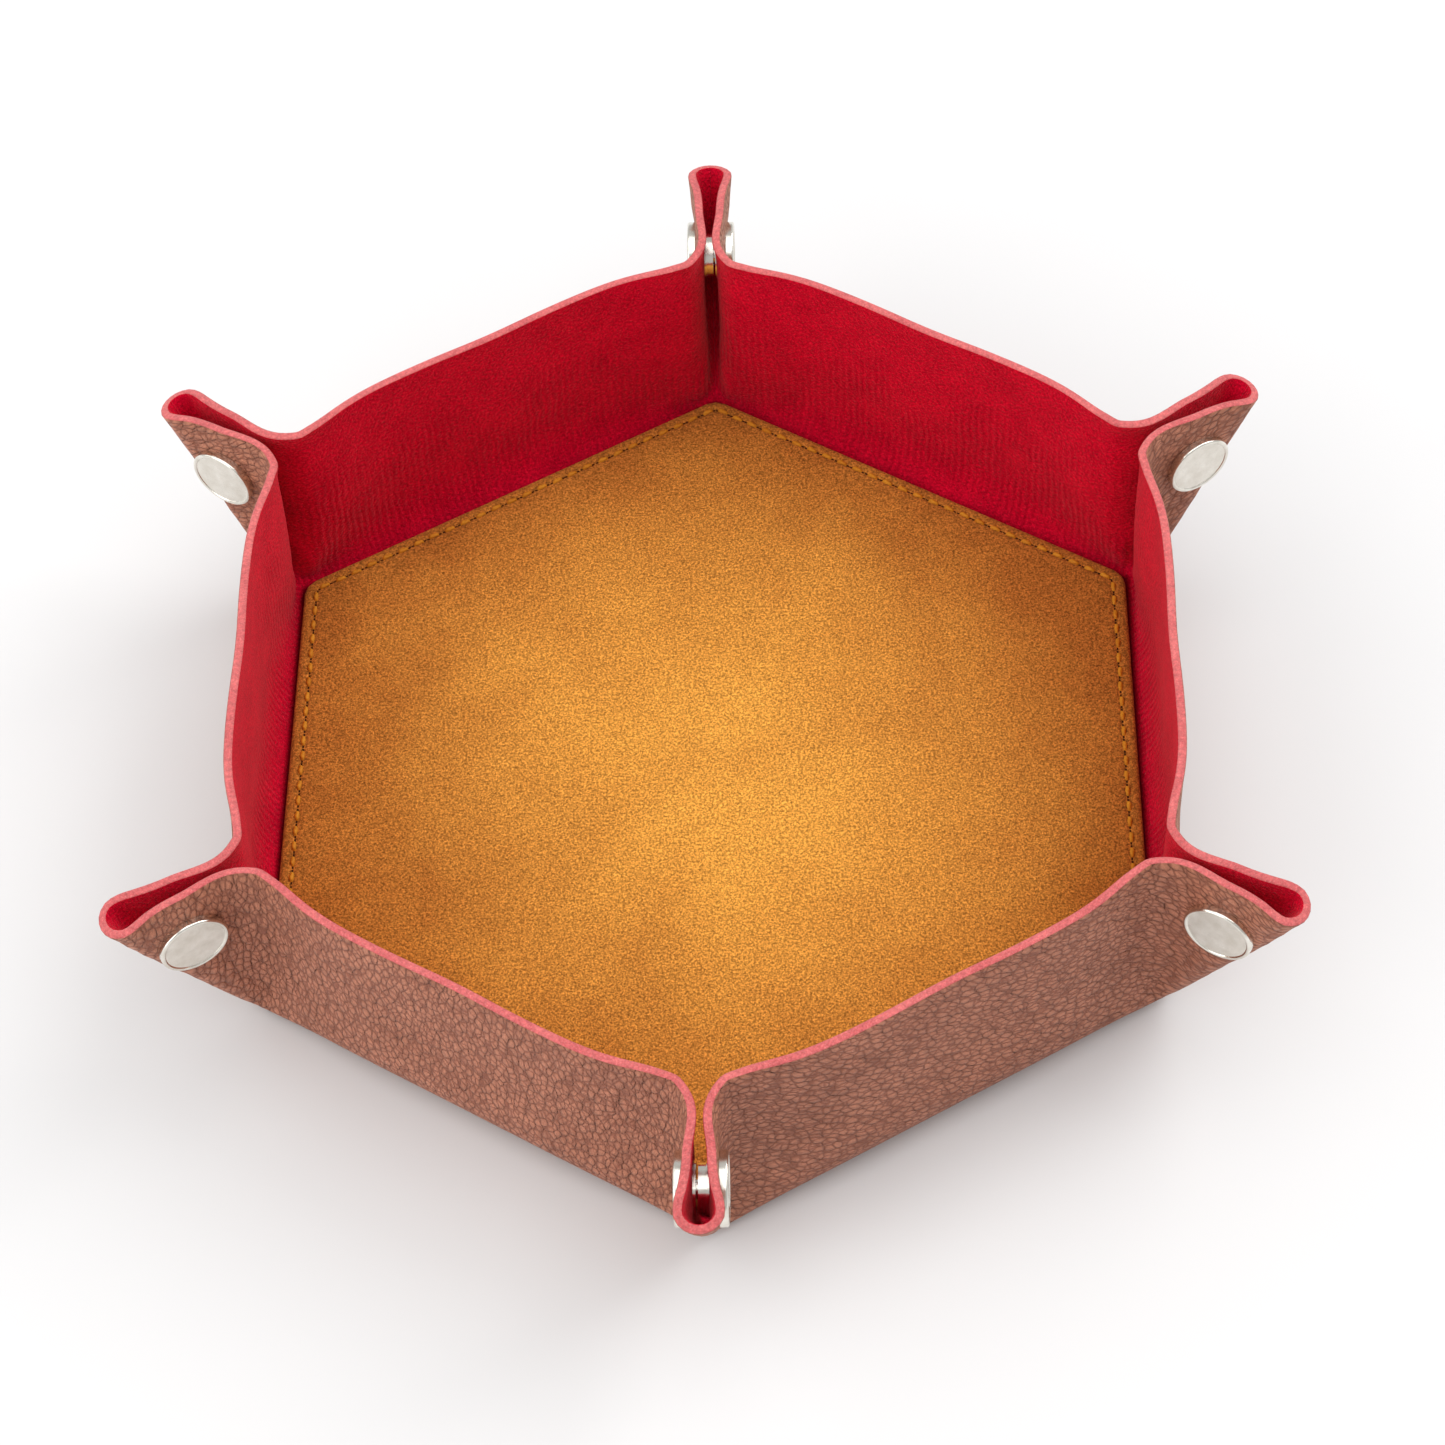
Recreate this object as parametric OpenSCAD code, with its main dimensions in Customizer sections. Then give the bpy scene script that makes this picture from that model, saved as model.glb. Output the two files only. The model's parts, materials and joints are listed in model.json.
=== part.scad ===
// Folding hexagonal dice tray.
// One laminated sheet, a padded base and six snapped corners. The sheet lies flat when
// the snaps are undone, and stands up as a six-sided tray when they are closed.
// Every part is drawn in the closed position. The origin is the middle of the underside.

/* [Sheet] */
// Distance across the flats of the unfolded sheet
sheet_flats = 250; // [240:1:264]
// Distance across the flats of the base, between opposite wall folds
base_flats = 163; // [160:0.5:166]
// Radius of the sheet's six outer corners
sheet_corner_r = 20; // [12:0.5:22]
// Thickness of the outer cover
cover_t = 0.9; // [0.8:0.05:1]
// Thickness of the suede lining
lining_t = 0.7; // [0.6:0.05:0.8]

/* [Pad] */
// Distance from each wall fold to the edge of the pad
pad_margin = 3.5; // [3:0.1:6]
// Corner radius of the pad
pad_corner_r = 4; // [2:0.5:8]
// Thickness of the stiff board inside the pad
board_t = 1.5; // [1:0.1:2.5]
// Thickness of the suede on top of the board
suede_t = 0.8; // [0.5:0.1:1.2]

/* [Stitching] */
// Distance from the pad's edge to the row of stitches
stitch_inset = 2.4; // [2:0.1:8]
// Stitches along each side of the pad
stitches_per_side = 26; // [12:1:30]
// Diameter of the sewing thread
thread_d = 0.7; // [0.4:0.05:0.9]
// Visible share of each stitch between its two needle holes
stitch_share = 0.74; // [0.6:0.02:0.9]

/* [Pinched corners] */
// Gap between the two linings of a closed corner
ply_gap = 2.7; // [2.7:0.05:3]
// Distance from the wall fold to the centre of the snap
snap_out = 9.2; // [8.5:0.1:9.6]
// Height of the snap's centre above the underside
snap_up = 32.6; // [31.5:0.1:34]

/* [Snap fasteners] */
// Diameter of the snap's cap
cap_d = 12.5; // [11:0.1:13]
// Height of the cap above the cover
cap_h = 1.5; // [1.2:0.1:2]
// Diameter of the cap's post
post_d = 2.6; // [2.2:0.1:2.8]
// Diameter of the socket's ring
socket_d = 8.4; // [8:0.1:9]
// Diameter of the stud's head
head_d = 3.6; // [3.2:0.1:3.8]

/* [Hidden] */
$fn = 64;
sides = 6;
side_turn = 360 / sides;
half_turn = side_turn / 2;
sheet_t = cover_t + lining_t;
base_apothem = base_flats / 2;
sheet_apothem = sheet_flats / 2;
wall_h = sheet_apothem - base_apothem;
pad_apothem = base_apothem - pad_margin;
reach = 2 * sheet_apothem;

// Small gaps that keep neighbouring panels apart at a fold and along the corner's middle
fold_gap = 0.1;
middle_gap = 0.1;

// A closed corner: its two plies stand either side of the plane that halves the corner.
// The cover of each ply is this far from that plane.
ply_face = ply_gap / 2 + sheet_t;
// The wall fold stands where the ply's cover meets the wall's cover.
wall_half = base_apothem * tan(half_turn) - ply_face / sin(side_turn);
fold_x = base_apothem * cos(half_turn) + wall_half * sin(half_turn);
// The nose fold rises at this angle from the foot of the wall fold.
nose_rise = side_turn;
// The plies and noses start this far up the nose fold, clear of the base.
nose_start = 2.6;

board_z = sheet_t;
pad_top = board_z + board_t + suede_t;
stitch_apothem = pad_apothem - stitch_inset;
stitch_side = 2 * stitch_apothem * tan(half_turn);
stitch_pitch = stitch_side / stitches_per_side;
thread_sink = 0.15;

cap_r = cap_d / 2;
cap_roll = 0.45;
post_r = post_d / 2;
bore_r = post_r + 0.05;
plate_t = 0.5;
plate_r = 4.5;
ring_h = 1.3;
ring_bore_r = 2.3;
head_h = 1.2;

function corner_names(part, side) = [for (k = [1:sides]) str(part, "_", k, "_", side)];
function side_names(part) = [for (k = [1:sides]) str(part, "_", k)];

// ---- Outlines ----

// A hexagon whose flats face 0, 60, 120 ... degrees
module hexagon(apothem) {
    rotate(half_turn) circle(r = apothem / cos(half_turn), $fn = sides);
}

// The same hexagon with true arcs at its corners
module rounded_hexagon(apothem, r) {
    arc_centre = (apothem - r) / cos(half_turn);
    intersection() {
        hexagon(apothem);
        rotate(half_turn) hexagon(arc_centre + r * cos(half_turn));
    }
    for (k = [0:sides - 1])
        rotate(half_turn + k * side_turn) translate([arc_centre, 0]) circle(r = r);
}

// The part of the flat sheet beyond a wall fold, up to and past the corner's middle.
// X runs from the nose fold towards the middle, and Y runs up the nose fold.
module corner_sheet() {
    intersection() {
        rotate(90) translate([-fold_x, -ply_face]) rotate(-half_turn)
            rounded_hexagon(sheet_apothem, sheet_corner_r);
        rotate(half_turn) translate([fold_gap, -reach]) square([reach, 2 * reach]);
        translate([-reach, nose_start]) square(2 * reach);
    }
}

// ---- Panels ----

// A layer of the base, with its sides cut back at 45 degrees to meet the walls
module base_layer(bottom, thickness) {
    difference() {
        translate([0, 0, bottom]) linear_extrude(thickness) hexagon(base_apothem - fold_gap);
        for (k = [0:sides - 1])
            rotate([0, 0, k * side_turn]) translate([base_apothem - fold_gap, -reach / 2, 0])
                rotate([0, -45, 0]) cube(reach);
    }
}

module base_cover() {
    color("rosybrown") base_layer(0, cover_t);
}

module base_lining() {
    color("crimson") base_layer(cover_t, lining_t);
}

// One upright wall of bonded cover and lining, mitred along its foot
module wall(k) {
    color("crimson") rotate([0, 0, (k - 1) * side_turn]) translate([0, wall_half, 0])
        rotate([90, 0, 0]) linear_extrude(2 * wall_half) polygon([
            [base_apothem, fold_gap],
            [base_apothem, wall_h],
            [base_apothem - sheet_t, wall_h],
            [base_apothem - sheet_t, sheet_t + fold_gap]]);
}

// Places a piece at the foot of the wall fold of corner k, on its left or right side
module at_corner(k, side) {
    rotate([0, 0, half_turn + (k - 1) * side_turn])
        mirror([0, side == "right" ? 1 : 0, 0]) translate([fold_x, ply_face, 0]) children();
}

// Stands a piece up in the ply: X outward, Y up, and Z from the cover towards the middle
module in_ply(k, side) {
    at_corner(k, side) rotate([90, 0, 0]) children();
}

// Cuts the corner of the sheet to a strip with this section along the nose fold
module sheet_strip(section) {
    intersection() {
        linear_extrude(sheet_t) corner_sheet();
        translate([0, reach, 0]) rotate([90, 0, 0]) linear_extrude(reach) polygon(section);
    }
}

// One ply of a pinched corner, with the hole for its snap's post
module ply(k, side) {
    color("rosybrown") in_ply(k, side) difference() {
        rotate([0, 0, -half_turn]) sheet_strip([
            [-reach, 0],
            [-fold_gap, 0],
            [-fold_gap - sheet_t, sheet_t],
            [-reach, sheet_t]]);
        translate([snap_out, snap_up, -sheet_t]) cylinder(r = bore_r, h = 3 * sheet_t);
    }
}

// Half of the fold that closes a corner's outer edge
module nose(k, side) {
    inner_edge = ply_face - middle_gap;
    color("rosybrown") at_corner(k, side) rotate([0, -nose_rise, 0]) rotate([0, 0, -90])
        sheet_strip([
            [fold_gap, 0],
            [inner_edge, 0],
            [inner_edge, sheet_t],
            [fold_gap + sheet_t, sheet_t]]);
}

// ---- Pad ----

// The stiff board, small enough for the suede to wrap over its edges
module board_outline() {
    rounded_hexagon(pad_apothem - suede_t, pad_corner_r - suede_t);
}

module pad_board() {
    color("saddlebrown") translate([0, 0, board_z]) linear_extrude(board_t) board_outline();
}

// The suede over the board, down its edges to the lining
module pad_suede() {
    color("peru") difference() {
        translate([0, 0, board_z]) linear_extrude(board_t + suede_t)
            rounded_hexagon(pad_apothem, pad_corner_r);
        linear_extrude(board_z + board_t) board_outline();
    }
}

// The running stitch: one short thread between each pair of needle holes
module pad_stitching() {
    stitch_l = stitch_pitch * stitch_share;
    color("gold") for (k = [0:sides - 1], i = [0:stitches_per_side - 1])
        rotate([0, 0, k * side_turn]) translate([
            stitch_apothem,
            (i + 0.5) * stitch_pitch - stitch_side / 2 + stitch_l / 2,
            pad_top + thread_d / 2 - thread_sink])
            rotate([90, 0, 0]) cylinder(d = thread_d, h = stitch_l, $fn = 16);
}

// ---- Snap fasteners ----

// The cap: a flat disc with a rolled edge outside the ply, and a post through the ply
module snap_cap(k, side) {
    color("silver") in_ply(k, side) translate([snap_out, snap_up, 0]) {
        rotate([180, 0, 0]) rotate_extrude() {
            square([cap_r - cap_roll, cap_h - cap_roll / 2]);
            square([cap_r, cap_h - cap_roll]);
            translate([cap_r - cap_roll, cap_h - cap_roll]) circle(r = cap_roll, $fn = 32);
        }
        cylinder(r = post_r, h = sheet_t + plate_t);
    }
}

// The socket on the left ply: a plate over the post, and a ring that the stud enters
module snap_socket(k) {
    color("silver") in_ply(k, "left") translate([snap_out, snap_up, sheet_t]) difference() {
        union() {
            cylinder(r = plate_r, h = plate_t);
            cylinder(d = socket_d, h = plate_t + ring_h);
        }
        translate([0, 0, -plate_t]) cylinder(r = post_r, h = 3 * plate_t);
        translate([0, 0, plate_t]) cylinder(r = ring_bore_r, h = 2 * ring_h);
    }
}

// The stud on the right ply: a plate over the post, and a round head
module snap_stud(k) {
    head_roll = 0.3;
    color("silver") in_ply(k, "right") translate([snap_out, snap_up, sheet_t]) difference() {
        union() {
            cylinder(r = plate_r, h = plate_t);
            cylinder(r = head_d / 2 - head_roll / 2, h = plate_t + head_h - head_roll);
            translate([0, 0, plate_t + head_h - head_roll]) rotate_extrude() {
                square([head_d / 2 - head_roll, head_roll]);
                translate([head_d / 2 - head_roll, 0]) circle(r = head_roll, $fn = 32);
            }
        }
        translate([0, 0, -plate_t]) cylinder(r = post_r, h = 2 * plate_t);
    }
}

base_cover();
base_lining();
pad_board();
pad_suede();
pad_stitching();
for (k = [1:sides]) {
    wall(k);
    snap_socket(k);
    snap_stud(k);
    for (side = ["left", "right"]) {
        ply(k, side);
        nose(k, side);
        snap_cap(k, side);
    }
}
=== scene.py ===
"""Looks of the folding dice tray: a leather and suede sheet relaxed over its folds, a stitched pad, snaps."""
import json
import math

import bpy
import numpy as np
from mathutils import Matrix, Vector


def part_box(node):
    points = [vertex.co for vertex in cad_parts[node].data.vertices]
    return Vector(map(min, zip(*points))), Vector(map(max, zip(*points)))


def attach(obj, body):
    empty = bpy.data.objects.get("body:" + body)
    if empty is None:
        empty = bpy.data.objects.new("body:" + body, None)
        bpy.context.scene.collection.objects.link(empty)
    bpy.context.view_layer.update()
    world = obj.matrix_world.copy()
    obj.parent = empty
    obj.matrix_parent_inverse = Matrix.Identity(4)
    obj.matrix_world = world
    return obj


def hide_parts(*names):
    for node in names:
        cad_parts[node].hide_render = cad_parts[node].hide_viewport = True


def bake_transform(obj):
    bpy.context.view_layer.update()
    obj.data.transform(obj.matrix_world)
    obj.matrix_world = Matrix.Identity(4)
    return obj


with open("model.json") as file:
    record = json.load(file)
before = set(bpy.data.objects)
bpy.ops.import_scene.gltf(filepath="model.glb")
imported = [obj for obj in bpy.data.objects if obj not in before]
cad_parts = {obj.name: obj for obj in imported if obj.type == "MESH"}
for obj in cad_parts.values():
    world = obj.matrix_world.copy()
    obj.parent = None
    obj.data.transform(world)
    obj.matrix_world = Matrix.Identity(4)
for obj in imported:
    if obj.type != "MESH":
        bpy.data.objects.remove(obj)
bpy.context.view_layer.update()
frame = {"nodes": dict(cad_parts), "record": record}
MM = 0.001
SIDES = 6
TURN = 2 * math.pi / SIDES
HALF_TURN = TURN / 2
COS, SIN, TAN = math.cos(HALF_TURN), math.sin(HALF_TURN), math.tan(HALF_TURN)


# ---- Camera ----
def add_camera():
    """Stands about where the photograph was taken from."""
    azimuth, elevation, roll = (math.radians(a) for a in (2.63, 54.24, -2.83))
    target, distance = Vector((1.73, 14.03, 0.0)) * MM, 691.2 * MM
    back = Vector((math.sin(azimuth) * math.cos(elevation),
                   -math.cos(azimuth) * math.cos(elevation), math.sin(elevation)))
    right = Vector((math.cos(azimuth), math.sin(azimuth), 0.0))
    up = back.cross(right)
    across = math.cos(roll) * right + math.sin(roll) * up
    upright = math.cos(roll) * up - math.sin(roll) * right
    camera = bpy.data.objects.new("camera", bpy.data.cameras.new("camera"))
    camera.data.sensor_width = 36.0
    camera.data.lens = 92.6
    camera.data.clip_start, camera.data.clip_end = 0.05, 20.0
    turned = Matrix((across, upright, back)).transposed().to_4x4()
    camera.matrix_world = Matrix.Translation(target + back * distance) @ turned
    bpy.context.collection.objects.link(camera)
    bpy.context.scene.camera = camera


# ---- Sizes of the tray, in millimetres, read from the frame ----
def low_high(node):
    """The node's lowest and highest corners at rest, in millimetres."""
    low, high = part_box(node)
    return np.array(low) / MM, np.array(high) / MM


def joint(name):
    return next(j for j in frame["record"]["behaviour"]["joints"] if j["name"] == name)


FOLD = np.array(joint("fold_ply_2_left")["pos_m"]) / MM      # corner 2 points along +Y
FOLD_X, PLY_FACE = FOLD[1], -FOLD[0]
THICK = low_high("base_lining")[1][2]
MID = THICK / 2
PAD_HIGH = low_high("pad_suede")[1]
PAD_APOTHEM, PAD_TOP = PAD_HIGH[0], PAD_HIGH[2]
PAD_CORNER = 4.0
CAP_LOW, CAP_HIGH = low_high("snap_cap_2_left")
SNAP_X, SNAP_Z = (CAP_LOW[1] + CAP_HIGH[1]) / 2, (CAP_LOW[2] + CAP_HIGH[2]) / 2
CAD_THREAD_R = 0.35
STITCH_APOTHEM = low_high("pad_stitching")[1][0] - CAD_THREAD_R
STITCHES = 26

# ---- The folded sheet ----
# Half a corner is solved, in the corner's own frame: x outward along the middle of the
# corner, y square to it on the half's own side, z up. The flat sheet lies in the same frame.
WALL_OUT = np.array([COS, SIN])           # square to the wall, in plan
WALL_ALONG = np.array([SIN, -COS])        # along the wall, towards the corner
BEND_APOTHEM = 79.0                       # where the sheet starts to turn up into a wall
RISE = 44.2                               # from there to the rim, measured on the sheet
RIM_CORNER = 20.0
PINCH = 3.4                               # length of foot gathered into each ply
SNAP_ALONG, SNAP_UP = 9.4, 32.2           # the snap's place on the flat sheet
PINCH_COLUMNS, WALL_COLUMNS, RISE_ROWS = 13, 16, 19


def flat_grid():
    """Columns fan out from the middle of the corner to the middle of the wall; rows run up the sheet.

    Returns for each point its distance along the wall from the wall's middle, and square to it."""
    foot_end = BEND_APOTHEM * TAN
    half = foot_end - PINCH
    pinch = foot_end - PINCH * np.linspace(0, 1, PINCH_COLUMNS)
    wall = half * (1 - np.linspace(0, 1, WALL_COLUMNS + 1)[1:] ** 1.2)
    foot = np.concatenate([pinch, wall])
    lean = TAN * np.clip((foot - half) / PINCH, 0, 1)
    inner = BEND_APOTHEM + np.array([-4.5, -2.5, -1.0, 0.0])
    rise = np.concatenate([[1.1, 2.4], np.linspace(4.2, RISE, RISE_ROWS - 2)]) / RISE
    centre = (BEND_APOTHEM + RISE - RIM_CORNER) * np.array([TAN, 1.0])
    along, square = [], []
    for f, slope in zip(foot, lean):
        top = BEND_APOTHEM + RISE
        for _ in range(6):
            past = min(max(f + slope * (top - BEND_APOTHEM) - centre[0], 0), RIM_CORNER)
            top = centre[1] + math.sqrt(RIM_CORNER ** 2 - past ** 2)
        outer = BEND_APOTHEM + rise * (top - BEND_APOTHEM)
        along.append(np.concatenate([f * inner / BEND_APOTHEM, f + slope * (outer - BEND_APOTHEM)]))
        square.append(np.concatenate([inner, outer]))
    return np.array(along), np.array(square)


def triangles(columns, rows):
    """Triangles of the grid, and the pairs of points across each of its cells."""
    i, j = np.meshgrid(np.arange(columns - 1), np.arange(rows - 1), indexing="ij")
    a = (i * rows + j).ravel()
    b, c, d = a + rows, a + rows + 1, a + 1
    even = ((i + j) % 2 == 0).ravel()
    one = np.where(even[:, None], np.stack([a, b, d], 1), np.stack([a, b, c], 1))
    two = np.where(even[:, None], np.stack([b, c, d], 1), np.stack([a, c, d], 1))
    return np.concatenate([one, two]), np.concatenate([np.stack([a, c], 1), np.stack([b, d], 1)])


def laplacian(flat, faces):
    """Cotangent weights of the flat sheet, and the area round each point."""
    n = len(flat)
    weights, area = np.zeros((n, n)), np.zeros(n)
    for k in range(3):
        i, j, o = faces[:, k], faces[:, (k + 1) % 3], faces[:, (k + 2) % 3]
        u, v = flat[i] - flat[o], flat[j] - flat[o]
        cross = np.abs(u[:, 0] * v[:, 1] - u[:, 1] * v[:, 0])
        half_cot = 0.5 * (u * v).sum(1) / cross
        for p, q, sign in ((i, j, 1), (j, i, 1), (i, i, -1), (j, j, -1)):
            np.add.at(weights, (p, q), sign * half_cot)
        np.add.at(area, o, cross / 6)
    return weights, area


def stiffness(weights, area, soft, rows):
    """Bending matrix: the square of the surface's Laplacian at these rows."""
    return weights[rows].T @ ((soft[rows] / area[rows])[:, None] * weights[rows])


def relax_sheet(steps=400, bend=30.0, stretch=200.0, over=1.2, outward=0.09):
    """Bends the flat sheet into its closed shape: the base held flat, the snap held shut.

    Returns the middle surface of half a corner, and each point's place on the flat sheet."""
    along, square = flat_grid()
    columns, rows = along.shape
    along = np.vstack([along, -along[-2:-1]])      # one column past the wall's middle, as its mirror
    square = np.vstack([square, square[-2:-1]])
    index = np.arange((columns + 1) * rows).reshape(columns + 1, rows)
    flat = along.reshape(-1, 1) * WALL_ALONG + square.reshape(-1, 1) * WALL_OUT
    height = square.ravel() - BEND_APOTHEM
    half = BEND_APOTHEM * TAN - PINCH
    in_ply = np.stack([along.ravel() - half, height], 1)
    faces, cross = triangles(columns + 1, rows)
    weights, area = laplacian(flat, faces)
    middle, wall_mid, ghost, twin = index[0], index[columns - 1], index[columns], index[columns - 2]

    # bending, softer along the creased folds; the columns on the mirror planes bend with their mirrors
    fold_reach, fold_share = 1.5, 0.3
    nose_reach, nose_foot, nose_share = 7, 2, 0.15
    soft = np.full(len(flat), bend)
    soft[np.abs(height) < fold_reach] *= fold_share
    soft[(flat[:, 1] < nose_reach) & (height > nose_foot)] *= nose_share
    inside = np.ones(len(flat), bool)
    inside[index[:, -1]] = inside[ghost] = inside[index[:, 0]] = False
    off_middle = inside.copy()
    off_middle[middle] = False
    doubled, doubled_area = weights.copy(), area.copy()
    doubled[middle] *= 2
    doubled_area[middle] *= 2
    even = stiffness(doubled, doubled_area, soft, inside)
    odd = stiffness(weights, area, soft, off_middle)
    inside[wall_mid] = off_middle[wall_mid] = False
    even[wall_mid] += stiffness(doubled, doubled_area, soft, inside)[wall_mid]
    odd[wall_mid] += stiffness(weights, area, soft, off_middle)[wall_mid]

    # stretching: every edge and both diagonals keep their flat length
    pairs = np.concatenate([faces[:, [0, 1]], faces[:, [1, 2]], faces[:, [2, 0]], cross])
    pairs = np.unique(np.sort(pairs, axis=1), axis=0)
    rest = np.linalg.norm(flat[pairs[:, 0]] - flat[pairs[:, 1]], axis=1)
    pull = stretch / rest
    springs = np.zeros((len(flat), len(flat)))
    for p, q, sign in ((0, 0, 1), (1, 1, 1), (0, 1, -1), (1, 0, -1)):
        np.add.at(springs, (pairs[:, p], pairs[:, q]), sign * pull)

    # holds: base, snap disc, symmetry planes, contact with the other ply
    firm, held, touch = 50 * stretch, 0.5 * stretch, 0.5 * stretch
    snap_flat = np.array([(BEND_APOTHEM + SNAP_UP) * TAN - SNAP_ALONG - half, SNAP_UP])
    base_end, disc_r = -0.9, 5.2
    base = height < base_end
    disc = np.hypot(*(in_ply - snap_flat).T) < disc_r
    diagonal = np.full(len(flat), touch)
    diagonal[base | disc] += firm
    diagonal[wall_mid] += held
    diagonal[ghost] += held
    diagonal_y = diagonal.copy()
    diagonal_y[middle] += firm
    solve_xz = np.linalg.inv(springs + even + np.diag(diagonal))
    solve_y = np.linalg.inv(springs + odd + np.diag(diagonal_y))

    # start from the sharp fold
    up = np.clip(height, 0, None)
    place = np.zeros((len(flat), 3))
    place[:, :2] = flat - up[:, None] * WALL_OUT
    place[:, 2] = np.maximum(up, MID)
    ply = (in_ply[:, 0] > 0) & (height > 0)
    past = in_ply[:, 0] * COS - in_ply[:, 1] * SIN
    up_nose = in_ply[:, 0] * SIN + in_ply[:, 1] * COS
    on_nose = ply & (past > 0)
    corner_x = BEND_APOTHEM * COS + half * SIN
    place[ply] = np.stack([corner_x + in_ply[ply, 0], np.full(ply.sum(), PLY_FACE - MID), up[ply]], 1)
    place[on_nose] = np.stack([
        corner_x + up_nose[on_nose] * SIN,
        np.clip(PLY_FACE - MID - past[on_nose], 0, None),
        up_nose[on_nose] * COS], 1)
    place[middle, 1] = 0

    base_place = np.column_stack([flat[base], np.full(base.sum(), MID)])
    wall_plane = np.array([SIN, -COS, 0.0])
    ply_margin, clearance, flat_share = 6, 0.02, 0.9
    on_wall = (in_ply[:, 0] < -ply_margin) & (height > 0)
    pressed = (outward * area * on_wall)[:, None] * np.array([COS, SIN, 0])
    floor_y = np.minimum(MID + clearance, flat_share * flat[:, 1])
    spoke = in_ply[disc] - snap_flat
    spoke_mid = spoke.mean(0)
    for _ in range(steps):
        edge = place[pairs[:, 0]] - place[pairs[:, 1]]
        edge *= (rest / np.maximum(np.linalg.norm(edge, axis=1), 1e-9) * pull)[:, None]
        load = pressed.copy()
        np.add.at(load, pairs[:, 0], edge)
        np.add.at(load, pairs[:, 1], -edge)
        load[base] += firm * base_place
        load[wall_mid] += held * (place[wall_mid] - np.outer(place[wall_mid] @ wall_plane, wall_plane))
        load[ghost] += held * (place[twin] - 2 * np.outer(place[twin] @ wall_plane, wall_plane))
        now = place[disc][:, [0, 2]]
        rel, off = spoke - spoke_mid, now - now.mean(0)
        angle = math.atan2((rel[:, 0] * off[:, 1] - rel[:, 1] * off[:, 0]).sum(), (rel * off).sum())
        c, s = math.cos(angle), math.sin(angle)
        load[disc] += firm * np.stack([
            SNAP_X + c * spoke[:, 0] - s * spoke[:, 1],
            np.full(disc.sum(), PLY_FACE - MID),
            SNAP_Z + s * spoke[:, 0] + c * spoke[:, 1]], 1)
        clear = place.copy()
        clear[:, 1] = np.maximum(clear[:, 1], floor_y)
        clear[:, 2] = np.maximum(clear[:, 2], MID)
        load += touch * clear
        aim = np.stack([solve_xz @ load[:, 0], solve_y @ load[:, 1], solve_xz @ load[:, 2]], 1)
        place += over * (aim - place)
    return place[index[:columns]], flat[index[:columns]]


def across_line(points, angle):
    """Mirror images of points across the vertical plane that stands at this angle to +X."""
    c, s = math.cos(2 * angle), math.sin(2 * angle)
    out = points.copy()
    out[..., 0] = c * points[..., 0] + s * points[..., 1]
    out[..., 1] = s * points[..., 0] - c * points[..., 1]
    return out


def finer(grid):
    """Puts one more column between each two, on a smooth curve through them."""
    first, last = 2 * grid[:1] - grid[1:2], 2 * grid[-1:] - grid[-2:-1]
    p = np.concatenate([first, grid, last])
    out = np.empty((2 * len(grid) - 1,) + grid.shape[1:])
    out[::2] = grid
    out[1::2] = (-p[:-3] + 9 * p[1:-2] + 9 * p[2:-1] - p[3:]) / 16
    return out


def whole_wall():
    """The sheet from corner to corner over one wall, in the frame where the wall looks along +X.

    Returns its middle surface, the outward normals, and each point's place on the flat sheet."""
    shape, flat = relax_sheet()
    even_rounds, kept = 6, PINCH_COLUMNS + 1       # the columns of the pinch are left as they are
    out = []
    for part in (shape, flat):
        half = part.copy()
        half[..., 0] = COS * part[..., 0] + SIN * part[..., 1]
        half[..., 1] = -SIN * part[..., 0] + COS * part[..., 1]
        full = np.concatenate([half, across_line(half[-2::-1], 0)])
        for _ in range(even_rounds if part is shape else 0):
            evened = (full[kept - 1:-kept - 1] + 2 * full[kept:-kept] + full[kept + 1:-kept + 1]) / 4
            full[kept:-kept, :, ::2] = evened[..., ::2]
        full = np.concatenate([across_line(full[1:2], -HALF_TURN), full, across_line(full[-2:-1], HALF_TURN)])
        out.append(finer(finer(full).swapaxes(0, 1)).swapaxes(0, 1))
    surface, place = out
    normal = np.cross(np.gradient(surface, axis=0), np.gradient(surface, axis=1))
    normal /= np.linalg.norm(normal, axis=2)[..., None]
    return surface[2:-2], normal[2:-2], place[2:-2]


# ---- Meshes ----
def new_object(name, points, faces, materials, face_material, layers=None, normals=None):
    """A smooth-shaded object from points in millimetres. layers are UV maps, given per point."""
    mesh = bpy.data.meshes.new(name)
    mesh.from_pydata((np.asarray(points) * MM).tolist(), [], faces)
    for material in materials:
        mesh.materials.append(material)
    mesh.polygons.foreach_set("material_index", face_material)
    mesh.shade_smooth()
    corner = np.empty(len(mesh.loops), int)
    mesh.loops.foreach_get("vertex_index", corner)
    for layer, values in (layers or {}).items():
        uv = mesh.uv_layers.new(name=layer)
        uv.data.foreach_set("uv", np.asarray(values)[corner].ravel())
    if normals is not None:
        mesh.normals_split_custom_set_from_vertices(np.asarray(normals).tolist())
    obj = bpy.data.objects.new(name, mesh)
    bpy.context.collection.objects.link(obj)
    return obj


# Round the rim from cover to lining: share of the half thickness, and how far it stands out
HALF_EDGE = [(1.0, 0.0), (0.9, 0.13), (0.62, 0.24), (0.2, 0.29)]
EDGE = HALF_EDGE + [(-share, bulge) for share, bulge in HALF_EDGE[::-1]]


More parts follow.
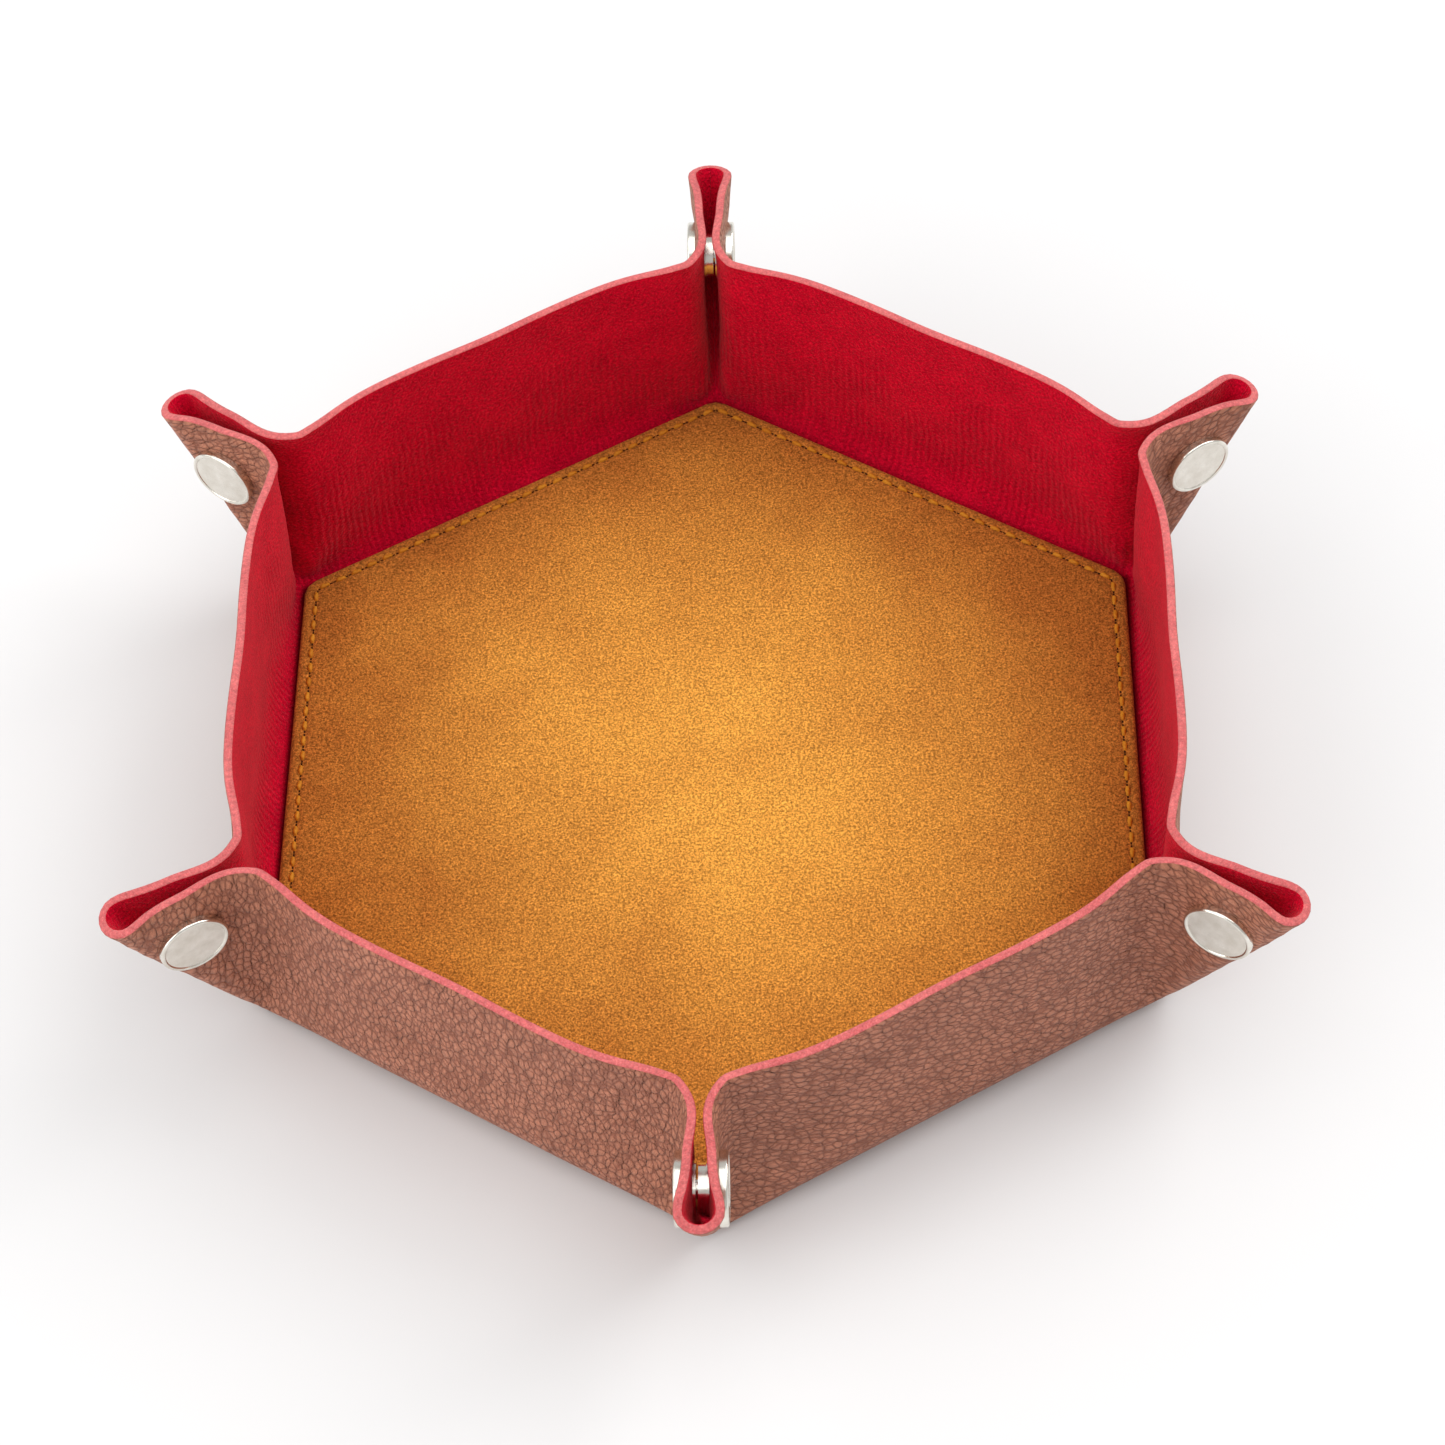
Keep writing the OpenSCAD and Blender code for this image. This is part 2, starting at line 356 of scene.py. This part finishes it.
def sheet_piece(name, wall, cells, turn, half_thick, materials):
    """A closed piece of the sheet: the cells of the wall's grid that it covers, turned to its place.

    The cover is its outer face and the lining its inner one. On the rim the core shows
    between them; the other edges are cut square, and meet the next piece."""
    surface, normal, place = wall
    c, s = math.cos(turn), math.sin(turn)
    about_z = np.array([[c, s, 0], [-s, c, 0], [0, 0, 1]])
    columns, rows = cells.shape
    used = np.zeros((columns + 1, rows + 1), bool)
    for di, dj in ((0, 0), (1, 0), (0, 1), (1, 1)):
        used[di:columns + di, dj:rows + dj] |= cells
    index = np.full(used.shape, -1)
    index[used] = np.arange(used.sum())
    n = int(used.sum())
    thick = half_thick[used][:, None]
    mid, out, flat = surface[used], normal[used], place[used]
    points = [mid + out * thick, mid - out * thick]
    normals, flats = [out, -out], [flat, flat]
    faces, kinds = [], []
    for i, j in zip(*np.nonzero(cells)):
        quad = [index[i, j], index[i + 1, j], index[i + 1, j + 1], index[i, j + 1]]
        faces += [quad, [q + n for q in quad[::-1]]]
        kinds += [0, 1]
    count = 2 * n

    # the rim: strips that round over from cover to lining
    top = np.nonzero(used[:, -1])[0]
    if len(top) > 1:
        beyond = surface[top, -1] - surface[top, -2]
        beyond /= np.linalg.norm(beyond, axis=1)[:, None]
        beyond_flat = place[top, -1] - place[top, -2]
        beyond_flat /= np.linalg.norm(beyond_flat, axis=1)[:, None]
        across, lined = normal[top, -1], half_thick[top, -1][:, None]
        for share, bulge in EDGE:
            points.append(surface[top, -1] + across * lined * share + beyond * bulge)
            tilt = across * share * share ** 2 + beyond * (1.05 - abs(share) ** 3)
            normals.append(tilt / np.linalg.norm(tilt, axis=1)[:, None])
            flats.append(place[top, -1] + beyond_flat * (1 - share) * 0.8)
        for strip in range(len(EDGE) - 1):
            a = count + strip * len(top)
            for k in range(len(top) - 1):
                faces.append([a + k, a + k + 1, a + len(top) + k + 1, a + len(top) + k])
                kinds.append(0 if strip == 0 else 1 if strip == len(EDGE) - 2 else 2)
        count += len(EDGE) * len(top)

    # the edges that meet other pieces
    padded = np.pad(cells, 1)
    for i, j in zip(*np.nonzero(cells)):
        for (di, dj), (a, b) in (((0, -1), ((i, j), (i + 1, j))), ((1, 0), ((i + 1, j), (i + 1, j + 1))),
                                 ((0, 1), ((i + 1, j + 1), (i, j + 1))), ((-1, 0), ((i, j + 1), (i, j)))):
            if padded[i + 1 + di, j + 1 + dj] or (dj == 1 and j + 1 == rows):
                continue
            cut = [surface[a] + normal[a] * half_thick[a], surface[b] + normal[b] * half_thick[b],
                   surface[b] - normal[b] * half_thick[b], surface[a] - normal[a] * half_thick[a]]
            facing = np.cross(cut[0] - cut[1], cut[2] - cut[1])
            points.append(np.array(cut))
            normals.append(np.tile(facing / np.linalg.norm(facing), (4, 1)))
            flats.append(np.array([place[a], place[b], place[b], place[a]]))
            faces.append([count + 1, count, count + 3, count + 2])
            kinds.append(2)
            count += 4

    flats = np.concatenate(flats)
    obj = new_object(name, np.concatenate(points) @ about_z, faces, materials, kinds,
                     {"sheet": flats @ about_z[:2, :2], "wall": flats}, np.concatenate(normals) @ about_z)
    declare_cut(place, cells)
    return obj


def declare_cut(place, cells):
    i, j = np.nonzero(cells)
    a, b, c, d = place[i, j], place[i + 1, j], place[i + 1, j + 1], place[i, j + 1]
    corners = np.concatenate([a, b, c, d])
    best = None
    for angle in np.radians(np.arange(0, 90, 5)):
        u = corners @ np.array([math.cos(angle), math.sin(angle)])
        v = corners @ np.array([-math.sin(angle), math.cos(angle)])
        box = (np.ptp(u), np.ptp(v))
        if best is None or box[0] * box[1] < best[0] * best[1]:
            best = box


def add_sheet(materials):
    """The base and, for each wall, the wall with its two plies and two noses."""
    wall = whole_wall()
    surface, _, place = wall
    columns, rows = surface.shape[0] - 1, surface.shape[1] - 1
    # where the pieces end, in columns from the corner's middle and in rows up from the base
    nose_end, ply_end, first_row, band_end, ply_start = 12, 32, 2, 10, 8
    slant_top, slant_most, slant_step = 18, 10, 2
    # plies and noses are thinner where they tuck under the wall's band
    thin = 0.6
    thick = np.full((columns + 1, rows + 1), MID)
    tucked = thick.copy()
    tucked[:, :band_end + 1] = np.linspace(thin, MID, band_end - ply_start + 1)[
        np.clip(np.arange(band_end + 1) - ply_start, 0, None)]
    column, row = np.meshgrid(np.arange(columns), np.arange(rows), indexing="ij")
    from_edge = np.minimum(column, columns - 1 - column)
    left = column < columns / 2
    in_wall = (row >= first_row) & ((from_edge >= ply_end) | (row < band_end))
    # the nose's edge slants away from the middle near the foot, where the folds run together
    nose_edge = nose_end + np.clip(slant_top - row, 0, slant_most) // slant_step * slant_step
    in_ply = (row >= ply_start) & (from_edge >= nose_edge) & (from_edge < ply_end)
    in_nose = (row >= ply_start) & (from_edge < nose_edge)

    seam = place[columns // 2, first_row, 0]
    corners = [(seam / COS * math.cos(a), seam / COS * math.sin(a))
               for a in (HALF_TURN + k * TURN for k in range(SIDES))]
    base_points = [(x, y, z) for z in (0.0, THICK) for x, y in corners]
    base_points += base_points
    base_faces = [list(range(SIDES))[::-1], list(range(SIDES, 2 * SIDES))]
    base_faces += [[2 * SIDES + k, 2 * SIDES + (k + 1) % SIDES, 3 * SIDES + (k + 1) % SIDES, 3 * SIDES + k]
                   for k in range(SIDES)]
    base_normals = [(0, 0, -1)] * SIDES + [(0, 0, 1)] * SIDES + [
        (math.cos(HALF_TURN + k * TURN), math.sin(HALF_TURN + k * TURN), 0) for k in range(SIDES)] * 2
    flat = [p[:2] for p in base_points]
    base = new_object("sheet_base", base_points, base_faces, materials, [0, 1] + [2] * SIDES,
                      {"sheet": flat, "wall": [(0.0, 0.0)] * len(flat)}, base_normals)
    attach(base, "base")
    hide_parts("base_cover", "base_lining")

    for k in range(1, SIDES + 1):
        turn = (k - 1) * TURN
        piece = sheet_piece(f"sheet_wall_{k}", wall, in_wall, turn, thick, materials)
        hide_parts(f"wall_{k}")
        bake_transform(piece)
        before = (k - 2) % SIDES + 1
        for corner, side, on_side, sign in ((before, "left", left, 1), (k, "right", ~left, -1)):
            piece = sheet_piece(f"sheet_ply_{corner}_{side}", wall, in_ply & on_side, turn, tucked, materials)
            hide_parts(f"ply_{corner}_{side}")
            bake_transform(piece)
            piece = sheet_piece(f"sheet_nose_{corner}_{side}", wall, in_nose & on_side, turn, tucked,
                                materials)
            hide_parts(f"nose_{corner}_{side}")
            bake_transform(piece)


# ---- Pad ----
def hexagon_reach(angle, apothem, r):
    """How far a hexagon with rounded corners reaches from its centre, at these angles."""
    off = np.abs((angle + HALF_TURN) % TURN - HALF_TURN)
    centre = (apothem - r) / COS
    to_corner = HALF_TURN - off
    arc = centre * np.cos(to_corner) + np.sqrt(np.maximum(r * r - (centre * np.sin(to_corner)) ** 2, 0))
    on_arc = apothem * np.tan(off) > (apothem - r) * TAN
    return np.where(on_arc, arc, apothem / np.cos(off))


def add_pad(material):
    """Suede drawn over the board: a rolled edge, a sewn channel, and a slight crown inside it."""
    side = np.linspace(-1, 1, 45)[:-1]
    angles = np.concatenate([k * TURN + np.arctan(side * TAN) for k in range(SIDES)])
    roll = 0.95
    rings = [(0.25, THICK), (0.0, THICK + 0.35), (0.0, PAD_TOP - roll)]
    for turn in np.radians([22.5, 45, 67.5]):
        rings.append((roll * (1 - math.cos(turn)), PAD_TOP - roll + roll * math.sin(turn)))
    inset = PAD_APOTHEM - STITCH_APOTHEM
    crown, crown_from, crown_over = 0.1, 0.7, 4
    channel_half, channel_deep, channel_period, lip, edge_lip = 0.8, 0.26, 1.8, 0.02, 0.03
    for d in [1.2, 1.4]:
        rings.append((d, PAD_TOP + edge_lip))
    for d in np.linspace(-channel_half, channel_half, 7):
        rings.append((inset + d, PAD_TOP - channel_deep * math.cos(math.pi * d / channel_period) ** 2 + lip))
    for d in [1.2, 1.9, 3.0, 5.0, 8.5, 13, 20, 30, 42, 54, 64]:
        rings.append((inset + d, PAD_TOP + crown * (1 - math.exp(-(d - crown_from) / crown_over))))
    points, faces = [], []
    for d, z in rings:
        apothem = PAD_APOTHEM - 0.05 - d
        reach = hexagon_reach(angles, apothem, max(PAD_CORNER - d, min(1.2, apothem / 3)))
        points.append(np.column_stack([
            reach * np.cos(angles), reach * np.sin(angles), np.full(len(angles), z)]))
    n = len(angles)
    points = np.concatenate(points + [np.array([[0, 0, PAD_TOP + crown], [0, 0, THICK]])])
    for ring in range(len(rings) - 1):
        for k in range(n):
            a, b = ring * n + k, ring * n + (k + 1) % n
            faces.append([a, b, b + n, a + n])
    last = (len(rings) - 1) * n
    for k in range(n):
        faces.append([last + k, last + (k + 1) % n, len(points) - 2])
        faces.append([(k + 1) % n, k, len(points) - 1])
    pad = new_object("suede_pad", points, faces, [material], [0] * len(faces))
    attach(pad, "base")
    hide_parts("pad_suede", "pad_board")


def add_stitches(thread, hole):
    """A running stitch of two-ply thread that dives into a needle hole at each end; the holes are flat discs
    darkened as painted shade.
    """
    pitch = 2 * STITCH_APOTHEM * TAN / STITCHES
    length, r, bed = 0.7 * pitch, 0.4, PAD_TOP - 0.22
    stations, around, hole_sides = 13, 10, 10
    s = np.linspace(-1, 1, stations)[:, None]
    turn = np.linspace(0, 2 * math.pi, around, endpoint=False)[None, :]
    girth = r * (1 + 0.16 * np.cos(2 * turn - 5.0 * s)) * np.sqrt(np.clip(1.04 - np.abs(s) ** 6, 0.02, 1))
    tube = np.stack([girth * np.cos(turn), s * length / 2 + 0 * turn,
                     bed + 0.24 - 0.62 * np.abs(s) ** 3 + girth * np.sin(turn)], 2).reshape(-1, 3)
    rng = np.random.default_rng(5)
    points, faces, hole_points, hole_faces = [], [], [], []
    for k in range(SIDES):
        c, sn = math.cos(k * TURN), math.sin(k * TURN)
        about_z = np.array([[c, sn, 0], [-sn, c, 0], [0, 0, 1]])
        for i in range(STITCHES):
            slant, nudge = rng.normal(0, 0.035), rng.normal(0, 0.05, 2)
            middle = (i + 0.5) * pitch - STITCH_APOTHEM * TAN
            one = tube.copy()
            one[:, 0] += slant * tube[:, 1] + nudge[0]
            one[:, 1] += middle + nudge[1]
            one[:, 0] += STITCH_APOTHEM
            start = len(points) * len(tube)
            points.append(one @ about_z)
            for a in range(stations - 1):
                for b in range(around):
                    p, q = start + a * around + b, start + a * around + (b + 1) % around
                    faces.append([p, q, q + around, p + around])
            faces.append([start + b for b in range(around)])
            faces.append([start + (stations - 1) * around + b for b in range(around)][::-1])
            for end in (-1, 1):
                y = middle + nudge[1] + end * (length / 2 + 0.02)
                x = STITCH_APOTHEM + nudge[0] + slant * end * length / 2
                # each needle hole is a flat disc on the suede; its dark colour is painted shade for the hole
                disc = np.array([[x + 0.45 * math.cos(t), y + 0.42 * math.sin(t), bed + 0.012]
                                 for t in np.linspace(0, 2 * math.pi, hole_sides, endpoint=False)])
                first = hole_sides * len(hole_points)
                hole_faces.append(list(range(first, first + hole_sides)))
                hole_points.append(disc @ about_z)
    stitches = new_object("pad_stitches", np.concatenate(points), faces, [thread], [0] * len(faces))
    hole_shades = new_object("needle_hole_shades", np.concatenate(hole_points), hole_faces, [hole], [0] * len(hole_faces))
    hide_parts("pad_stitching")
    for piece in (stitches, hole_shades):
        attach(piece, "base")


# ---- Materials ----
class Shader:
    """A material's nodes, written as short calls that return output sockets."""

    def __init__(self, name):
        self.material = bpy.data.materials.new(name)
        self.material.use_nodes = True
        self.tree = self.material.node_tree
        self.tree.nodes.clear()
        self.output = self.tree.nodes.new("ShaderNodeOutputMaterial")

    def node(self, kind, inputs=None, **settings):
        node = self.tree.nodes.new("ShaderNode" + kind)
        for key, value in settings.items():
            setattr(node, key, value)
        for key, value in (inputs or {}).items():
            if isinstance(value, bpy.types.NodeSocket):
                self.tree.links.new(value, node.inputs[key])
            else:
                node.inputs[key].default_value = value
        return node

    def sheet_place(self):
        """The place on the flat sheet, in millimetres."""
        return self.node("UVMap", uv_map="sheet").outputs[0]

    def object_place(self):
        """The place on the object, in millimetres."""
        place = self.node("TexCoord").outputs["Object"]
        return self.node("VectorMath", {0: place, 1: (1 / MM,) * 3}, operation="MULTIPLY").outputs[0]

    def noise(self, place, size, detail=2.0, rough=0.5, stretch=None):
        """Noise from 0 to 1, with features of about this size in millimetres."""
        if stretch:
            place = self.node("VectorMath", {0: place, 1: stretch}, operation="MULTIPLY").outputs[0]
        return self.node("TexNoise", {"Vector": place, "Scale": 1 / size, "Detail": detail,
                                      "Roughness": rough}).outputs[0]

    def spread(self, value, low, high, to_low=0.0, to_high=1.0):
        return self.node("MapRange", {0: value, 1: low, 2: high, 3: to_low, 4: to_high}).outputs[0]

    def math(self, operation, *values):
        return self.node("Math", dict(enumerate(values)), operation=operation).outputs[0]

    def mix(self, factor, a, b):
        node = self.node("Mix", {0: factor}, data_type="RGBA")
        for socket, value in ((node.inputs[6], a), (node.inputs[7], b)):
            if isinstance(value, bpy.types.NodeSocket):
                self.tree.links.new(value, socket)
            else:
                socket.default_value = (*value, 1.0)
        return node.outputs[2]

    def scaled(self, colour, factor):
        return self.node("VectorMath", {0: colour, "Scale": factor}, operation="SCALE").outputs[0]

    def bump(self, height, distance, strength=1.0, normal=None):
        inputs = {"Height": height, "Distance": distance * MM, "Strength": strength}
        if normal is not None:
            inputs["Normal"] = normal
        return self.node("Bump", inputs).outputs[0]

    def finish(self, **inputs):
        surface = self.node("BsdfPrincipled", inputs)
        self.tree.links.new(surface.outputs[0], self.output.inputs[0])
        return self.material


def cover_leather():
    """Pebbled grain: domed cells under two millimetres long, with darker, redder creases between them, and
    painted shading that lightens each cell's middle.
    """
    s = Shader("cover_leather")
    place = s.sheet_place()
    turned = s.node("VectorRotate", {"Vector": place, "Angle": -TURN}, rotation_type="Z_AXIS").outputs[0]
    drawn = s.node("VectorMath", {0: turned, 1: (0.66, 1.1, 1.0)}, operation="MULTIPLY").outputs[0]
    drift = s.node("TexNoise", {"Vector": place, "Scale": 0.45, "Detail": 2.0}).outputs[1]
    moved = s.node("VectorMath", {0: drift, 1: (0.9, 0.9, 0.0)}, operation="MULTIPLY").outputs[0]
    drawn = s.node("VectorMath", {0: drawn, 1: moved}, operation="ADD").outputs[0]
    edge = s.node("TexVoronoi", {"Vector": drawn, "Scale": 0.8}, feature="DISTANCE_TO_EDGE").outputs[0]
    middle = s.node("TexVoronoi", {"Vector": drawn, "Scale": 0.8}).outputs[0]
    dome = s.math("SUBTRACT", 1.0, s.math("MULTIPLY", middle, middle))
    pebble = s.spread(edge, 0.0, 0.16)
    small = s.node("TexVoronoi", {"Vector": drawn, "Scale": 1.9}, feature="DISTANCE_TO_EDGE").outputs[0]
    fine = s.spread(small, 0.0, 0.14)
    tone = s.noise(place, 11.0, 3.0)
    patch = s.noise(place, 2.6, 2.0)
    colour = s.mix(s.spread(tone, 0.3, 0.7), (0.400, 0.146, 0.082), (0.500, 0.195, 0.116))
    colour = s.mix(s.spread(patch, 0.35, 0.7, 0.0, 0.4), colour, (0.62, 0.25, 0.15))
    colour = s.mix(s.spread(pebble, 0.0, 1.0, 0.6, 0.0), colour, (0.200, 0.056, 0.036))
    # painted shading: each pebble is lighter in its middle and darker towards its rim, as a dome lit from
    # above looks
    colour = s.scaled(colour, s.spread(middle, 0.15, 0.65, 1.12, 0.88))
    colour = s.mix(s.spread(fine, 0.0, 0.8, 0.25, 0.0), colour, (0.20, 0.055, 0.030))
    normal = s.bump(s.noise(place, 8.0, 3.0), 0.9)
    normal = s.bump(dome, 0.5, 1.0, normal)
    normal = s.bump(pebble, 0.08, 1.0, normal)
    normal = s.bump(fine, 0.07, 1.0, normal)
    normal = s.bump(s.noise(place, 0.28, 2.0), 0.03, 1.0, normal)
    rough = s.spread(pebble, 0.0, 1.0, 0.66, 0.48)
    return s.finish(**{"Base Color": colour, "Roughness": rough, "Normal": normal, "Specular IOR Level": 0.3})


def lining_suede():
    """Crimson suede with a short nap, and fine ribs over the lower part of each wall.

    A dark band is painted along the foot of the walls, for the shadow beside the pad."""
    s = Shader("lining_suede")
    place = s.sheet_place()
    nap = s.noise(place, 7.0, 4.0, 0.6)
    brushed = s.noise(place, 2.2, 3.0, 0.6, (1.0, 0.35, 1.0))
    fibre = s.noise(place, 0.3, 2.0, 0.7)
    grit = s.noise(place, 0.6, 2.0, 0.6)
    colour = s.mix(s.spread(nap, 0.3, 0.72), (0.48, 0.0010, 0.018), (0.66, 0.0025, 0.026))
    colour = s.mix(s.spread(brushed, 0.35, 0.75, 0.0, 0.4), colour, (0.72, 0.0080, 0.034))
    colour = s.mix(s.spread(fibre, 0.5, 0.75, 0.0, 0.5), colour, (0.84, 0.008, 0.050))
    colour = s.scaled(colour, s.spread(grit, 0.3, 0.7, 0.62, 1.3))
    wall = s.node("UVMap", uv_map="wall").outputs[0]
    parts = s.node("SeparateXYZ", {0: wall}).outputs
    wander = s.noise(wall, 5.0, 2.0)
    phase = s.math("ADD", s.math("MULTIPLY", parts[1], 2 * math.pi / 1.45), s.math("MULTIPLY", wander, 7.0))
    wave = s.spread(s.math("SINE", phase), -1.0, 1.0)
    where = s.math("MULTIPLY", s.spread(s.noise(wall, 16.0, 1.0), 0.36, 0.56),
                   s.math("MULTIPLY", s.spread(parts[0], 78.0, 80.0),
                          s.spread(parts[0], 102.0, 114.0, 1.0, 0.0)))
    ribs = s.math("MULTIPLY", wave, where)
    pressed = s.node("TexVoronoi", {"Vector": place, "Scale": 0.62}, feature="DISTANCE_TO_EDGE").outputs[0]
    colour = s.mix(s.math("MULTIPLY", ribs, 0.25), colour, (0.22, 0.001, 0.012))
    colour = s.mix(s.spread(parts[0], 78.6, 79.8, 0.85, 0.0), colour, (0.05, 0.0004, 0.003))
    normal = s.bump(ribs, 0.16, 0.9)
    normal = s.bump(s.spread(pressed, 0.0, 0.2), 0.04, 0.8, normal)
    normal = s.bump(grit, 0.3, 0.9, normal)
    normal = s.bump(fibre, 0.12, 0.9, normal)
    return s.finish(**{"Base Color": colour, "Roughness": 0.95, "Normal": normal, "Specular IOR Level": 0.02,
                       "Sheen Weight": 0.42, "Sheen Roughness": 0.3, "Sheen Tint": (1.0, 0.22, 0.22, 1.0)})


def sheet_core():
    """The cut edge: a fibrous salmon-pink core with an uneven tone."""
    s = Shader("sheet_core")
    place = s.sheet_place()
    tone = s.noise(place, 6.0, 3.0)
    fibre = s.noise(place, 0.3, 3.0, 0.7)
    colour = s.mix(s.spread(tone, 0.3, 0.7), (0.58, 0.100, 0.105), (0.70, 0.155, 0.152))
    colour = s.mix(s.spread(fibre, 0.45, 0.75, 0.0, 0.5), colour, (0.86, 0.34, 0.32))
    colour = s.scaled(colour, s.spread(s.noise(place, 0.7, 2.0, 0.7), 0.3, 0.7, 0.7, 1.15))
    normal = s.bump(fibre, 0.22, 0.9)
    return s.finish(**{"Base Color": colour, "Roughness": 0.9, "Normal": normal, "Specular IOR Level": 0.15,
                       "Sheen Weight": 0.25, "Sheen Roughness": 0.5, "Sheen Tint": (1.0, 0.55, 0.55, 1.0)})


def pad_suede():
    """Tan suede, clouded, lighter in the middle and darker towards its edges; its sides are darkened as
    painted shade.
    """
    s = Shader("pad_suede")
    place = s.object_place()
    oval = s.node("VectorMath", {0: place, 1: (1.0, 0.82, 1.0)}, operation="MULTIPLY").outputs[0]
    out = s.node("VectorMath", {0: oval}, operation="LENGTH").outputs[1]
    cloud = s.noise(place, 42.0, 4.0, 0.55)
    patch = s.noise(place, 15.0, 4.0, 0.6)
    fibre = s.noise(place, 0.26, 2.0, 0.75)
    speck = s.noise(place, 0.45, 2.0, 0.7)
    # lighter towards the middle and darker towards the edges, with clouds and patches over it
    centre_to_edge_tone = s.math("ADD", s.spread(out, 12.0, 78.0, 0.95, 0.0), s.spread(cloud, 0.3, 0.7, -0.16, 0.16))
    centre_to_edge_tone = s.math("ADD", centre_to_edge_tone, s.spread(patch, 0.3, 0.7, -0.15, 0.15))
    colour = s.mix(s.spread(centre_to_edge_tone, 0.0, 1.0), (0.385, 0.128, 0.021), (0.690, 0.310, 0.050))
    colour = s.scaled(colour, s.spread(speck, 0.36, 0.64, 0.52, 1.44))
    colour = s.scaled(colour, s.spread(fibre, 0.36, 0.64, 0.64, 1.32))
    height = s.node("SeparateXYZ", {0: place}).outputs[2]
    # painted shade: the pad's sides are darkened below its top, most from a millimetre down, for the shadow
    # in the gap beside the pad
    colour = s.mix(s.spread(height, PAD_TOP - 1.0, PAD_TOP - 0.35, 0.75, 0.0), colour, (0.10, 0.026, 0.005))
    normal = s.bump(speck, 0.2, 0.8)
    normal = s.bump(fibre, 0.12, 0.9, normal)
    return s.finish(**{"Base Color": colour, "Roughness": 0.95, "Normal": normal, "Specular IOR Level": 0.06,
                       "Sheen Weight": 0.15, "Sheen Roughness": 0.5, "Sheen Tint": (1.0, 0.65, 0.25, 1.0)})


def golden_thread():
    """Golden thread, with fibres that show as darker flecks."""
    s = Shader("golden_thread")
    place = s.object_place()
    fibre = s.noise(place, 0.16, 3.0, 0.7)
    tone = s.noise(place, 5.0, 2.0)
    colour = s.mix(s.spread(tone, 0.3, 0.7), (0.50, 0.180, 0.010), (0.64, 0.270, 0.018))
    colour = s.mix(s.spread(fibre, 0.45, 0.75, 0.0, 0.5), colour, (0.30, 0.10, 0.010))
    return s.finish(**{"Base Color": colour, "Roughness": 0.55, "Normal": s.bump(fibre, 0.05, 0.9),
                       "Specular IOR Level": 0.15})


def needle_hole_shade():
    """Painted shade for a needle hole: a dark colour on a flat disc, standing for the hole's shadowed inside.
    """
    s = Shader("needle_hole_shade")
    fibre = s.noise(s.object_place(), 0.2, 2.0)
    # painted shade: near black, for the inside of the hole
    colour = s.mix(fibre, (0.020, 0.006, 0.002), (0.05, 0.016, 0.005))
    return s.finish(**{"Base Color": colour, "Roughness": 1.0, "Specular IOR Level": 0.05})


def nickel():
    """Satin nickel, clouded, a little stained and faintly scuffed."""
    s = Shader("nickel")
    place = s.object_place()
    cloud = s.noise(place, 2.6, 4.0, 0.6)
    stain = s.noise(place, 0.9, 3.0, 0.6)
    scuff = s.noise(place, 0.5, 2.0, 0.7, (1.0, 1.0, 0.12))
    colour = s.mix(s.spread(cloud, 0.32, 0.7), (0.72, 0.68, 0.60), (0.88, 0.85, 0.78))
    colour = s.mix(s.spread(stain, 0.55, 0.8, 0.0, 0.22), colour, (0.46, 0.42, 0.37))
    rough = s.spread(s.math("ADD", cloud, s.spread(scuff, 0.4, 0.8, 0.0, 0.25)), 0.3, 0.95, 0.14, 0.30)
    normal = s.bump(s.noise(place, 0.35, 3.0), 0.006, 0.6)
    return s.finish(**{"Base Color": colour, "Metallic": 1.0, "Roughness": rough, "Normal": normal})


# ---- Room ----
def add_room():
    """A pale floor, a bright surround, and soft lights: above, behind on the right, and two on the left."""
    s = Shader("pale_floor")
    shade = s.noise(s.object_place(), 300.0, 2.0)
    paint = s.finish(**{"Base Color": s.mix(shade, (0.71, 0.71, 0.715), (0.73, 0.73, 0.735)),
                        "Roughness": 0.75, "Specular IOR Level": 0.2})
    half, level = 3000.0, -0.6
    floor = new_object("floor", [(-half, -half, level), (half, -half, level), (half, half, level),
                                 (-half, half, level)], [[0, 1, 2, 3]], [paint], [0])
    for name, place, size, power, colour in (
            ("top", (0.15, -0.1, 1.5), 1.8, 11.0, (1.0, 1.0, 1.0)),
            ("key", (0.9, 0.55, 0.95), 1.0, 9.3, (1.0, 0.99, 0.98)),
            ("side", (-0.95, 0.1, 0.75), 1.3, 3.6, (1.0, 0.99, 0.98)),
            ("front", (-1.0, -0.85, 0.6), 1.3, 7.2, (1.0, 0.98, 0.95))):
        lamp = bpy.data.lights.new(name, "AREA")
        lamp.shape, lamp.size, lamp.energy, lamp.color = "DISK", size, power, colour
        holder = bpy.data.objects.new(name, lamp)
        holder.location = place
        holder.rotation_euler = (-Vector(place)).to_track_quat("-Z", "Y").to_euler()
        bpy.context.collection.objects.link(holder)
    world = bpy.data.worlds.new("room")
    world.use_nodes = True
    world.node_tree.nodes["Background"].inputs[0].default_value = (1.0, 1.0, 1.0, 1.0)
    world.node_tree.nodes["Background"].inputs[1].default_value = 0.58
    bpy.context.scene.world = world
    bpy.context.scene.view_settings.view_transform = "Standard"


def finish_snaps(metal):
    """Gives the snaps' own CAD nodes the nickel."""
    for name, obj in frame["nodes"].items():
        if name.startswith("snap"):
            for slot in obj.material_slots:
                slot.material = metal


add_camera()
add_sheet([cover_leather(), lining_suede(), sheet_core()])
add_pad(pad_suede())
add_stitches(golden_thread(), needle_hole_shade())
finish_snaps(nickel())
add_room()
